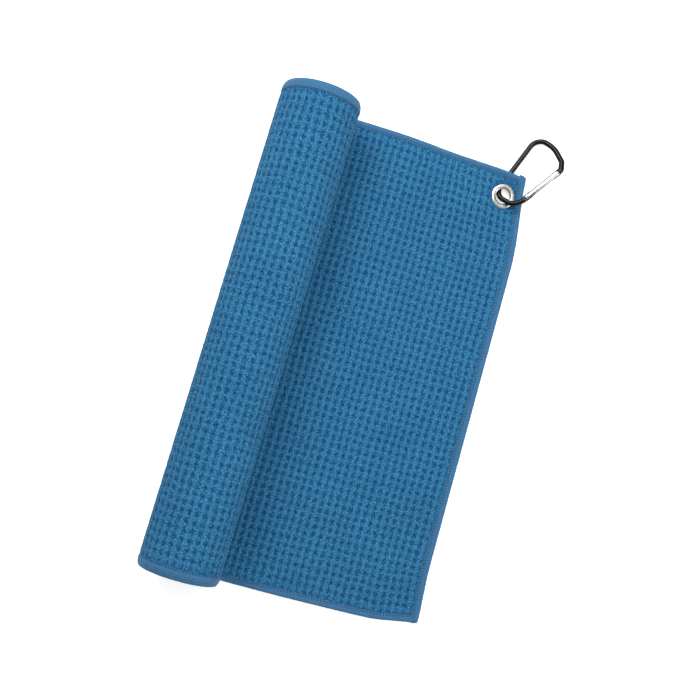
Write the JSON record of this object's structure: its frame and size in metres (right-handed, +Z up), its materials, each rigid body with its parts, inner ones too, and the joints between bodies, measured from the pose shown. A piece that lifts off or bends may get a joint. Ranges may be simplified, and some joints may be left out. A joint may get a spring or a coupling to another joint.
{
  "type": "golf towel",
  "caption": "Waffle-weave golf towel with bound edges, partly rolled up, with a metal grommet at one corner and a D-shaped spring-gate carabiner through it.",
  "frame": {"origin": "on the surface that the towel lies on, under the middle of the laid cloth's footprint", "axes": "+X along the cloth from the roll to the free end, +Y along the roll towards the grommet side, +Z up"},
  "size_m": [0.2475, 0.437, 0.0682],
  "materials": {
    "waffle_cloth": "blue waffle-weave microfibre, matt",
    "binding_tape": "smooth blue knitted tape",
    "seam_thread": "blue polyester sewing thread",
    "nickel": "bright nickel plate",
    "black_anodised": "black anodised, satin gloss",
    "silver_aluminium": "bright aluminium",
    "steel": "plain steel"
  },
  "bodies": {
    "towel": {"towel_cloth": "waffle_cloth", "binding_grommet_side": "binding_tape", "binding_far_side": "binding_tape", "binding_free_end": "binding_tape", "binding_inner_end": "binding_tape", "needle_thread_grommet_side": "seam_thread", "bobbin_thread_grommet_side": "seam_thread", "needle_thread_far_side": "seam_thread", "bobbin_thread_far_side": "seam_thread", "needle_thread_free_end": "seam_thread", "bobbin_thread_free_end": "seam_thread", "needle_thread_inner_end": "seam_thread", "bobbin_thread_inner_end": "seam_thread", "grommet_eyelet": "nickel", "grommet_washer": "nickel"},
    "carabiner": {"carabiner_body": "black_anodised", "gate_rivet": "steel"},
    "gate": {"gate": "silver_aluminium", "latch_pin": "steel", "gate_spring": "steel"},
    "plunger": {"spring_plunger": "steel"}
  },
  "joints": [
    {"name": "carabiner_swing", "type": "hinge", "parent": "towel", "child": "carabiner", "pos_m": [0.0875, 0.17344, 0.00538], "axis": [-0.3486, -0.9373, 0], "range_deg": [0, 90]},
    {"name": "gate_hinge", "type": "hinge", "parent": "carabiner", "child": "gate", "pos_m": [0.1078, 0.17955, 0.01362], "axis": [-0.4109, 0.1528, 0.8988], "range_deg": [0, 28], "stiffness_Nm_per_rad": 0.06, "springref_deg": -34.38},
    {"name": "plunger_slide", "type": "slide", "parent": "gate", "child": "plunger", "axis": [0.5698, 0.8127, 0.1223], "range_m": [0, 0.00125], "deforming": ["gate_spring"]}
  ],
  "couplings": [
    {"joint": "plunger_slide", "follows": "gate_hinge", "m_per_rad": 0.0025}
  ]
}
